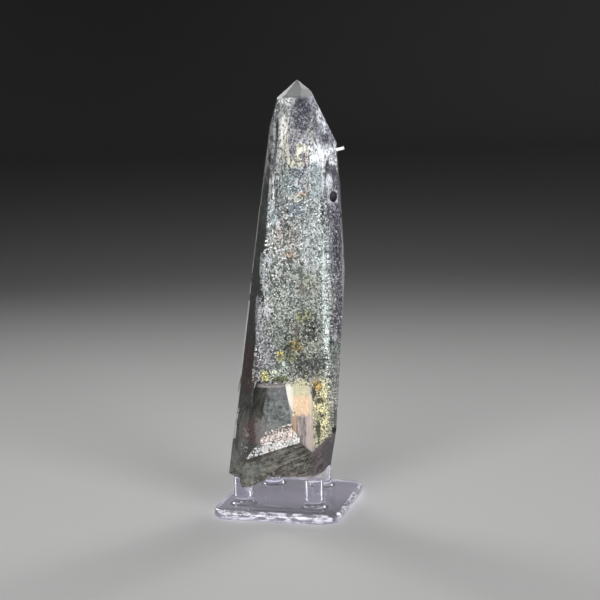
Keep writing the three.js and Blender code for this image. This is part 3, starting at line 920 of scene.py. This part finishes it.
def plate_profile():
    """Inset and height of the plate's rings, from its underside to its top."""
    size = PLATE_EDGE_ROUND
    curve = [(size * (1 - cos(angle)), size * sin(angle)) for angle in quarter_turn(ROUND_STEPS)]
    lower = [(inset, size - rise) for inset, rise in reversed(curve)]
    return lower + [(inset, PLATE_THICKNESS - size + rise) for inset, rise in curve]


def rim_highlight_share(place):
    """How strong the stand's painted highlight is at a place, in millimetres."""
    x, y, z = place
    in_edge = max(abs(x), abs(y)) > PLATE_SIDE / 2 - HIGHLIGHT_RIM_WIDTH and z > HIGHLIGHT_RIM_FROM
    on_top = z > PEG_TOP - PEG_RIM_ROUND
    in_foot = PLATE_THICKNESS + HIGHLIGHT_RIM_FROM < z < PLATE_THICKNESS + PEG_FOOT_FILLET / 2
    return in_edge + TOP_HIGHLIGHT_SHARE * on_top + FOOT_HIGHLIGHT_SHARE * in_foot


def make_stand():
    """The acrylic stand, one moulded piece: a rounded plate whose top runs up into four pegs."""
    shape = bmesh.new()
    rings = [ring(shape, plate_outline(inset), height) for inset, height in plate_profile()]
    stack_rings(shape, rings)
    shape.faces.new(reversed(rings[0]))
    outlines = [rings[-1]]
    for x, y in PEG_PLACES:
        rings = [ring(shape, circle(radius, PEG_SIDES, x, y), height) for radius, height in peg_profile()]
        stack_rings(shape, rings)
        shape.faces.new(rings[-1])
        outlines.append(rings[0])
    corners = [corner for outline in outlines for corner in outline]
    for triangle in tessellate_polygon([[corner.co for corner in outline] for outline in outlines]):
        shape.faces.new([corners[index] for index in triangle])
    # The rim attribute carries the painted highlight on the plate's edge and on the pegs
    rim = shape.verts.layers.float.new("rim")
    for corner in shape.verts:
        corner[rim] = rim_highlight_share(corner.co / MM)
    mesh = smooth_mesh_of(shape, "moulded_stand")
    new_piece("moulded_stand", mesh, [acrylic_finish()], "acrylic", "acrylic_stand")


# The feldspar: upright prisms grown into each other, each with its front, its back and its outline

FELDSPAR_PRISMS = [
    (11.2, 4, [(-0.3, 51), (1.2, 52), (3.2, 51.3), (5.4, 52.2), (8.4, 51.2), (9.2, 48.6), (8.9, 45.6),
     (2.3, 45), (0.6, 46)]),
    (11.5, 7, [(-0.5, 50.4), (2.6, 50.4), (3.2, 45), (3, 40.4), (2.3, 39.4), (1, 42.5), (0.1, 46.5)]),
    (11.65, 5, [(2.5, 46.2), (8.3, 46.4), (8.4, 40.8), (7.6, 39.8), (5.6, 38.2), (3.3, 38.8), (2.6, 41)]),
    (11.35, 7, [(1.9, 39.4), (3.9, 39.4), (3.5, 31), (2.5, 29), (1.7, 33)]),
    (11.6, 6, [(3.3, 39.2), (6.7, 39.4), (7.3, 24.8), (5.6, 26.4), (3.7, 28.6)]),
    (11.75, 6, [(6.4, 41), (8.2, 41), (8.6, 31), (8.4, 23.4), (7.2, 24.8)]),
    (11.5, 6, [(8.1, 47.4), (9.4, 46.6), (10.2, 40), (10.4, 31), (9.6, 23.8), (8.3, 23.6)]),
]
FELDSPAR_EDGE_ROUND = 0.12 * MM


def add_prism(shape, front, back):
    """A closed prism between two outlines, given by their corners in the crystal's own frame."""
    ends = [[shape.verts.new(in_scene(corner)) for corner in end] for end in (front, back)]
    join_rings(shape, *ends)
    shape.faces.new(ends[0])
    shape.faces.new(reversed(ends[1]))


def make_feldspar():
    shape = bmesh.new()
    for front, back, outline in FELDSPAR_PRISMS:
        add_prism(shape, *([(x, -depth, z) for x, z in outline] for depth in (front, back)))
    turn_outward(shape)
    round_edges(shape, shape.edges[:], FELDSPAR_EDGE_ROUND)
    mesh = mesh_of(shape, "feldspar_crystal")
    new_piece("feldspar_crystal", mesh, [feldspar_finish()], "feldspar", "feldspar")


# Veils: thin half clear sheets just behind the faces

VEIL_THICKNESS = 0.12

# Each with its face, its inset behind it, its corners (across, height), its colour, how well it covers, the
# heights it fades between, and how much of it is flecked white
VEILS = [
    ("front_veil", "front", 1, [(-12.6, 52), (-6.6, 100), (-4, 120), (-2.3, 130), (1.4, 150), (2.9, 157.2),
     (8.4, 157.2), (14.4, 140), (15.8, 136), (16.8, 100), (18, 52)],
     (0.34, 0.34, 0.34), 0.62, (106, 130), 0.5),
    ("shoulder_veil", "shoulder", 1, [(2.8, 134.4), (10.6, 136.6), (13.4, 138.8), (13.5, 140), (11.5, 146),
     (10.1, 150), (8.2, 155), (7.4, 157.3), (-1.2, 157.3), (0.2, 150)],
     (0.3, 0.3, 0.34), 0.8, (130, 136), 0.5),
    ("right_veil", "right", 1, [(-1.6, 62), (3.6, 62), (8.6, 80), (10.8, 100), (12, 140.5), (3.8, 139.3),
     (0.6, 135.6), (-0.4, 105)], (0.1, 0.092, 0.12), 0.8, (58, 78), 0.9),
    ("bevel_veil", "bevel", 1, [(-1, 112), (-0.3, 130), (0.2, 140), (0.6, 150), (1.4, 154.6), (2.9, 157.3),
     (7.9, 157.3), (5.4, 140), (4, 130), (1.4, 112)], (0.32, 0.33, 0.33), 0.75, (108, 128), 0.5),
    ("band_veil", "front", 0.65, [(-16.4, 21.4), (-13.4, 27), (-9.8, 30.6), (-3, 32.6), (2.4, 33),
     (4.6, 30), (4.4, 28), (-0.8, 26.8), (-10.7, 24)], (0.62, 0.57, 0.54), 0.85, (19, 22), 0.5),
    ("column_veil", "front", 1.3, [(9.8, 26), (11, 26.2), (15, 30.4), (15.9, 34), (16, 51.5), (9.6, 51.5)],
     (0.64, 0.6, 0.36), 0.9, (23, 26), 0.5),
    ("left_veil", "left", 1, [(-5.6, 34), (4.3, 34), (5.5, 100), (5.6, 133), (5.2, 150), (0.6, 150),
     (-0.5, 133), (-2.4, 100)], (0.022, 0.024, 0.018), 0.95, (155, 140), 0.1),
]


def make_veil(name, face, inset, outline, colour, cover, fade, flecks):
    shape = bmesh.new()
    depths = (inset, inset + VEIL_THICKNESS)
    add_prism(shape, *([behind(face, *corner, depth) for corner in outline] for depth in depths))
    turn_outward(shape)
    finish = veil_finish(name, colour, cover, fade, flecks)
    new_piece(name, mesh_of(shape, name), [finish], "phantom_quartz")


# Swarms of mineral grains

SWARM_NUMBERS = ("Density", "Smallest", "Largest", "Tallness", "Tumble", "Spread", "Clumping", "Clump Scale")


def swarm_tree():
    """The node tree that strews grains over a guide: its mesh gives the places and their outward way."""
    tree = bpy.data.node_groups.new("grain_swarm", "GeometryNodeTree")
    make = Making(tree)
    numbers = dict.fromkeys(SWARM_NUMBERS, "Float")
    kinds = {"Guide": "Geometry", **numbers, "Seed": "Int", "Finish": "Material"}
    for name, kind in kinds.items():
        tree.interface.new_socket(name, in_out="INPUT", socket_type="NodeSocket" + kind)
    tree.interface.new_socket("Grains", in_out="OUTPUT", socket_type="NodeSocketGeometry")
    sockets = tree.nodes.new("NodeGroupInput").outputs
    given = {name: Wire(make, sockets[name]) for name in kinds}

    def random_value(kind, low, high, draw):
        """A random value for each point, of its own draw."""
        made = make.node("FunctionNodeRandomValue", data_type=kind).socket.node
        values = {"Min": low, "Max": high, "Seed": given["Seed"] + draw}
        for each in made.inputs:
            if each.enabled and each.name in values:
                make.feed(each, values[each.name])
        return Wire(make, next(output for output in made.outputs if output.enabled))

    strewn = {"Mesh": given["Guide"], "Density": given["Density"], "Seed": given["Seed"]}
    points = make.node("GeometryNodeDistributePointsOnFaces", strewn)
    outward = Wire(make, points.socket.node.outputs["Normal"])
    place = make.node("GeometryNodeInputPosition")
    cloud = make.node("TexNoise", {"Vector": place, "Scale": given["Clump Scale"], "Detail": 2.0})
    bare = make.node("MapRange", {"Value": cloud, "From Min": 0.56, "From Max": 0.44})
    odds = {0: random_value("FLOAT", 0.0, 1.0, 6), 1: bare * given["Clumping"]}
    dropped = make.node("FunctionNodeCompare", odds, data_type="FLOAT", operation="LESS_THAN")
    bared = {"Geometry": points, "Selection": dropped}
    clumped = make.node("GeometryNodeDeleteGeometry", bared, domain="POINT")
    shift = random_value("FLOAT", given["Spread"] * -1.0, given["Spread"], 1)
    offset = make.node("VectorMath", {0: outward, "Scale": shift}, operation="SCALE")
    moved = make.node("GeometryNodeSetPosition", {"Geometry": clumped, "Offset": offset})
    grain = make.node("GeometryNodeMeshUVSphere", {"Segments": 4, "Rings": 2, "Radius": 0.5})
    tumble = given["Tumble"] * tau
    most = make.node("CombineXYZ", {"X": tumble, "Y": tumble, "Z": tau})
    turn = random_value("FLOAT_VECTOR", (0, 0, 0), most, 2)
    skewed = random_value("FLOAT", 0.0, 1.0, 3) ** 2.2
    size = make.node("MapRange", {"Value": skewed, "To Min": given["Smallest"], "To Max": given["Largest"]})
    length = size * random_value("FLOAT", 0.7, 1.5, 4)
    scale = make.node("CombineXYZ", {"X": size, "Y": length, "Z": size * given["Tallness"]})
    instances = {"Points": moved, "Instance": grain, "Rotation": turn, "Scale": scale}
    grains = make.node("GeometryNodeInstanceOnPoints", instances)
    shade = {"Geometry": grains, "Name": "shade", "Value": random_value("FLOAT", 0.0, 1.0, 5)}
    shaded = make.node("GeometryNodeStoreNamedAttribute", shade, data_type="FLOAT", domain="INSTANCE")
    real = make.node("GeometryNodeRealizeInstances", {"Geometry": shaded})
    dressed = make.node("GeometryNodeSetMaterial", {"Geometry": real, "Material": given["Finish"]})
    make.feed(tree.nodes.new("NodeGroupOutput").inputs[0], dressed)
    return tree, {name: sockets[name].identifier for name in kinds}


SWARM_TREE, SWARM_SOCKETS = swarm_tree()


def make_swarm(
    name, guide, density, sizes, material, slot="phantom_quartz",
    spread=0.3, tallness=0.6, tumble=1.0, clumping=0.5, clump=3.0,
):
    """A piece of many grains over a guide, in millimetres: density is for a square one, and clump is the size
    of the clumps that the grains gather in, by a share of clumping."""
    values = {
        "Density": density / MM**2,
        "Smallest": sizes[0] * MM,
        "Largest": sizes[1] * MM,
        "Tallness": tallness,
        "Tumble": tumble,
        "Spread": spread * MM,
        "Clumping": clumping,
        "Clump Scale": 1 / (clump * MM),
        "Seed": sum(name.encode()),
        "Finish": material,
    }
    holder = new_object(name + "_guide", guide)
    modifier = holder.modifiers.new("grains", "NODES")
    modifier.node_group = SWARM_TREE
    for key, value in values.items():
        modifier[SWARM_SOCKETS[key]] = value
    graph = bpy.context.evaluated_depsgraph_get()
    mesh = bpy.data.meshes.new_from_object(holder.evaluated_get(graph))
    mesh.name = name
    bpy.data.objects.remove(holder)
    new_piece(name, mesh, [], slot)


def outline_guide(name, outline):
    """A flat guide, given by its corners in the crystal's own frame."""
    shape = bmesh.new()
    shape.faces.new([shape.verts.new(in_scene(corner)) for corner in outline])
    return mesh_of(shape, name + "_guide")


# How far the grains over the phantom lie outside it, and the angle at which their guide's faces are parted
PHANTOM_OUT = 0.5 * MM
GUIDE_ANGLE = radians(5)


def phantom_guide(name, keep):
    """A guide from those faces of the phantom whose normal keep picks, moved out of it."""
    shape = closed_skin("phantom")
    dropped = [face for face in shape.faces if not keep(in_crystal(face.normal))]
    bmesh.ops.delete(shape, geom=dropped, context="FACES")
    parted = [edge for edge in shape.edges if edge.calc_face_angle(0) > GUIDE_ANGLE]
    bmesh.ops.split_edges(shape, edges=parted)
    moved = set()
    for face in shape.faces:
        for corner in face.verts:
            if corner not in moved:
                corner.co += face.normal * PHANTOM_OUT
                moved.add(corner)
    return mesh_of(shape, name + "_guide")


# Lights, floor and camera

# The floor's flat disc, and the quarter circle by which it turns up into a low wall all around
FLOOR_RADIUS = 2.2
FLOOR_CURVE = 1.2
FLOOR_SIDES = 96
FLOOR_STEPS = 16


def make_floor():
    shape = bmesh.new()
    rings = []
    for angle in quarter_turn(FLOOR_STEPS):
        points = circle((FLOOR_RADIUS + FLOOR_CURVE * sin(angle)) / MM, FLOOR_SIDES)
        rings.append(ring(shape, points, FLOOR_CURVE * (1 - cos(angle)) / MM))
    shape.faces.new(rings[0])
    stack_rings(shape, rings)
    mesh = smooth_mesh_of(shape, "floor")
    mesh.materials.append(floor_finish())
    new_object("floor", mesh)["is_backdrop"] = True


# Softboxes: place, size and power. A grid in front of each keeps its light within SOFTBOX_SPREAD
AIM = (0, 0, 0.11)
SOFTBOX_SPREAD = radians(60)
SOFTBOXES = {
    "key": ((-0.17, -0.88, 0.40), (0.55, 0.45), 1.1),
    "fill": ((0.72, -0.52, 0.46), (0.45, 0.42), 0.85),
    "rim_left": ((-0.66, 0.48, 0.56), (0.5, 0.34), 0.45),
    "rim_right": ((0.40, 0.72, 0.56), (0.5, 0.34), 0.45),
    "strip_left": ((-0.66, 0.48, 0.36), (0.07, 0.5), 0.14),
    "strip_right": ((0.40, 0.72, 0.36), (0.07, 0.5), 0.14),
    "top": ((0.0, 0.0, 0.80), (0.3, 0.3), 0.06),
}
FILL_COLOUR = (0.97, 0.98, 1.0)
STUDIO_COLOUR = (0.030, 0.030, 0.032, 1)


def light_the_scene():
    world = bpy.data.worlds.new("studio")
    world.use_nodes = True
    world.node_tree.nodes["Background"].inputs["Color"].default_value = STUDIO_COLOUR
    bpy.context.scene.world = world
    for name, (place, size, power) in SOFTBOXES.items():
        light = bpy.data.lights.new(name, "AREA")
        light.shape = "RECTANGLE"
        light.size, light.size_y = size
        light.energy = power
        light.spread = SOFTBOX_SPREAD
        lamp = new_object(name, light)
        lamp.location = place
        lamp.visible_camera = False
        lamp.visible_transmission = False
        lamp.rotation_mode = "QUATERNION"
        lamp.rotation_quaternion = (Vector(AIM) - Vector(place)).to_track_quat("-Z", "Y")
    bpy.data.lights["fill"].color = FILL_COLOUR
    bpy.context.scene.view_settings.view_transform = "Standard"


# The camera looks from the right of the stand's front edge, a little from above and tilted a little
CAMERA_PLACE = (0.153085, -0.543756, 0.172763)
CAMERA_AZIMUTH = radians(15.116)
CAMERA_PITCH = radians(9.277)
CAMERA_ROLL = radians(-1.573)
CAMERA_LENS = 90.0
CAMERA_SENSOR = 36.0
CAMERA_NEAR = 0.01


def make_camera():
    data = bpy.data.cameras.new("camera")
    data.lens = CAMERA_LENS
    data.sensor_width = CAMERA_SENSOR
    data.clip_start = CAMERA_NEAR
    camera = new_object("camera", data)
    turn = Matrix.Rotation(CAMERA_AZIMUTH, 4, "Z") @ Matrix.Rotation(pi / 2 - CAMERA_PITCH, 4, "X")
    camera.matrix_world = Matrix.Translation(CAMERA_PLACE) @ turn @ Matrix.Rotation(CAMERA_ROLL, 4, "Z")
    bpy.context.scene.camera = camera


def dress_node(node, material):
    """Give a node of the frame its finish."""
    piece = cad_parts[node]
    piece.data.materials.clear()
    piece.data.materials.append(material)


make_camera()
light_the_scene()
make_floor()
make_stand()
make_clear_crystal()
dress_node("phantom", phantom_finish())
make_feldspar()
dress_node("small_quartz", small_quartz_finish())

for veil in VEILS:
    make_veil(*veil)

PALE_GRAIN = grain_finish("pale_grain")
WHITE_GRAIN = grain_finish("white_grain", (0.86, 0.85, 0.88), 0.1)
PINK_GRAIN = grain_finish("pink_grain", (0.88, 0.75, 0.69), 0.2, (0.10, 0.055, 0.045))
CREAM_GRAIN = grain_finish("cream_grain", (0.72, 0.68, 0.50), 0.12)
PURPLE_DUST = dust_finish("purple_dust", (0.09, 0.085, 0.11), (0.78, 0.77, 0.83), 0.24)

# The phantom's faces: those that look to the front, up, and to the sides or back but for its left side
FRONT = facing(0, 3)
FRONT_SHARE = 0.85
POINT_SLOPE = 0.35
LEFT_SHARE = 0.3


def on_front(normal):
    return normal.dot(FRONT) > FRONT_SHARE


def on_point(normal):
    return normal.z > POINT_SLOPE


def on_sides(normal):
    on_left = normal.x <= -LEFT_SHARE and normal.y <= LEFT_SHARE
    return not on_front(normal) and abs(normal.z) < POINT_SLOPE and not on_left


PHANTOM_SWARMS = {
    "front_grains": (on_front, 7.5, (0.24, 0.78)),
    "point_grains": (on_point, 6.0, (0.24, 0.78)),
    "side_grains": (on_sides, 2.6, (0.26, 0.8)),
}
for name, (keep, density, sizes) in PHANTOM_SWARMS.items():
    make_swarm(name, phantom_guide(name, keep), density, sizes, PALE_GRAIN)

# Zones strewn with grains: name, face that they lie behind, inset, corners (across, height), density,
# smallest and largest size, finish, and what differs from the usual swarm
ZONES = [
    ("left_rim_grains", "front", 0.9, [(-13, 52), (-12, 60), (-9.3, 80), (-6.8, 100), (-4.3, 120),
     (-1.8, 120), (-4, 100), (-6.6, 80), (-9.8, 52)], 7.5, (0.24, 0.78), PALE_GRAIN, {"clumping": 0.3}),
    ("right_edge_grains", "right", 0.7, [(-2.4, 40), (-1, 41), (2.4, 58), (3.4, 80), (3.6, 100), (2.2, 112),
     (-0.1, 118), (-0.7, 100), (-1.3, 80)],
     3.6, (0.24, 0.78), PALE_GRAIN, {"clumping": 0.6, "spread": 0.2}),
    ("strip_grains", "front", 1, [(14.1, 50), (17.2, 50), (17.2, 85), (16.4, 121), (14.2, 121), (14.6, 85)],
     5, (0.3, 0.85), PALE_GRAIN, {"clumping": 0.3}),
    ("low_strip_grains", "front", 1.2, [(15.6, 33), (17.4, 34), (17.6, 50), (15.4, 50)],
     5, (0.3, 0.85), PALE_GRAIN, {"clumping": 0.3}),
    ("upper_grains", "front", 0.75, [(2.6, 155), (9.2, 155), (14.2, 140), (16, 118), (-3.8, 118),
     (1.2, 149)],
     2.4, (0.16, 0.5), PALE_GRAIN, {"tumble": 0.3, "tallness": 1.4, "clumping": 0.7, "spread": 0.15}),
    ("yellow_column_grains", "front", 0.9, [(10.2, 25.8), (10.9, 26), (15.2, 30.4), (15.9, 34), (16, 52),
     (9.6, 52)], 7, (0.35, 0.95), PALE_GRAIN, {"clumping": 0.4, "clump": 2.4}),
    ("ridge_grains", "front", 0.9, [(-9.4, 50.8), (3.2, 50.8), (3, 53), (0.4, 59), (-2, 55.6), (-8.6, 56)],
     7, (0.3, 0.8), PALE_GRAIN, {"clumping": 0.1}),
    ("feldspar_teeth", "front", 1.5, [(-0.6, 50), (9.2, 50), (9.4, 53), (7, 54.8), (5, 53), (3, 54.8),
     (0.5, 53)], 4, (0.5, 1.3), CREAM_GRAIN, {"clumping": 0.3, "slot": "feldspar"}),
    ("pink_band_grains", "front", 0.5, [(-11, 29), (-8, 33), (-3, 34.5), (1.6, 36), (2.2, 31.5),
     (1.8, 29.4), (-6, 28)], 9, (0.3, 0.85), PINK_GRAIN, {"spread": 0.2, "clumping": 0.4, "clump": 2.2}),
    ("white_band_grains", "front", 0.5, [(-16.6, 21.8), (-13, 26.6), (-8, 28.8), (4.4, 30.2), (4.4, 28.3),
     (-0.8, 27.1), (-4, 26.3), (-11.4, 24)],
     12, (0.22, 0.75), WHITE_GRAIN, {"spread": 0.2, "clumping": 0.6, "clump": 1.2}),
    ("left_specks", "left", 1.2, [(-0.5, 22), (3.6, 25), (3.2, 34), (0.2, 34)],
     1.3, (0.25, 0.55), WHITE_GRAIN, {}),
    ("right_dust", "right", 0.75, [(2.6, 62), (3.4, 62), (8.4, 80), (9.6, 118), (2.4, 118), (3.2, 100),
     (2.8, 75)], 3, (0.25, 0.8), PURPLE_DUST, {"tumble": 0.4, "tallness": 1.8, "spread": 0.2}),
    ("shoulder_streaks", "shoulder", 0.75, [(2.5, 138), (10.5, 138), (11.5, 146), (9, 153), (0.2, 153),
     (0.8, 150)],
     1.4, (0.16, 0.5), PURPLE_DUST, {"tumble": 0.1, "tallness": 4.0, "spread": 0.15, "clumping": 0.8}),
]
for name, face, inset, corners, density, sizes, material, unusual in ZONES:
    guide = outline_guide(name, [behind(face, *corner, inset) for corner in corners])
    make_swarm(name, guide, density, sizes, material, **unusual)

NEEDLE_VEIL = [(19.6, -1, 137.6), (13.5, -6.2, 135), (12.6, -6.4, 130.6), (19.4, -2.4, 131.8)]
needle_guide = outline_guide("needle_veil", NEEDLE_VEIL)
make_swarm("needle_veil", needle_guide, 8.0, (0.35, 0.9), WHITE_GRAIN, tumble=0.3, tallness=2.2, clumping=0.4)

# The round void behind the right face, as a dark lens: painted shade where the hollow looks dark
VOID_CENTRE = (6.7, 120.1)
VOID_RADII = (3.0, 2.1)
VOID_INSET = 0.6
VOID_HALF_THICK = 0.25
RING_STEPS = 24


def make_void():
    """A flat round lens behind the right face, closed at its two poles."""
    shape = bmesh.new()
    rim = []
    for x, y in circle(1, RING_STEPS):
        across = VOID_CENTRE[0] + VOID_RADII[0] * x
        height = VOID_CENTRE[1] + VOID_RADII[1] * y
        rim.append(shape.verts.new(in_scene(behind("right", across, height, VOID_INSET))))
    middle = Vector(behind("right", *VOID_CENTRE, VOID_INSET))
    out = facing(*FACES["right"][:2]) * VOID_HALF_THICK
    poles = [shape.verts.new(in_scene(middle + side * out)) for side in (1, -1)]
    for index, corner in enumerate(rim):
        after = rim[(index + 1) % len(rim)]
        for pole in poles:
            shape.faces.new((corner, after, pole))
    turn_outward(shape)
    mesh = mesh_of(shape, "round_void")
    mesh.shade_smooth()
    new_piece("round_void", mesh, [void_shade_finish()], "phantom_quartz")


make_void()

low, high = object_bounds()
sizes = {"cad": [list(corner) for corner in cad_box], "visual": [list(low), list(high)]}
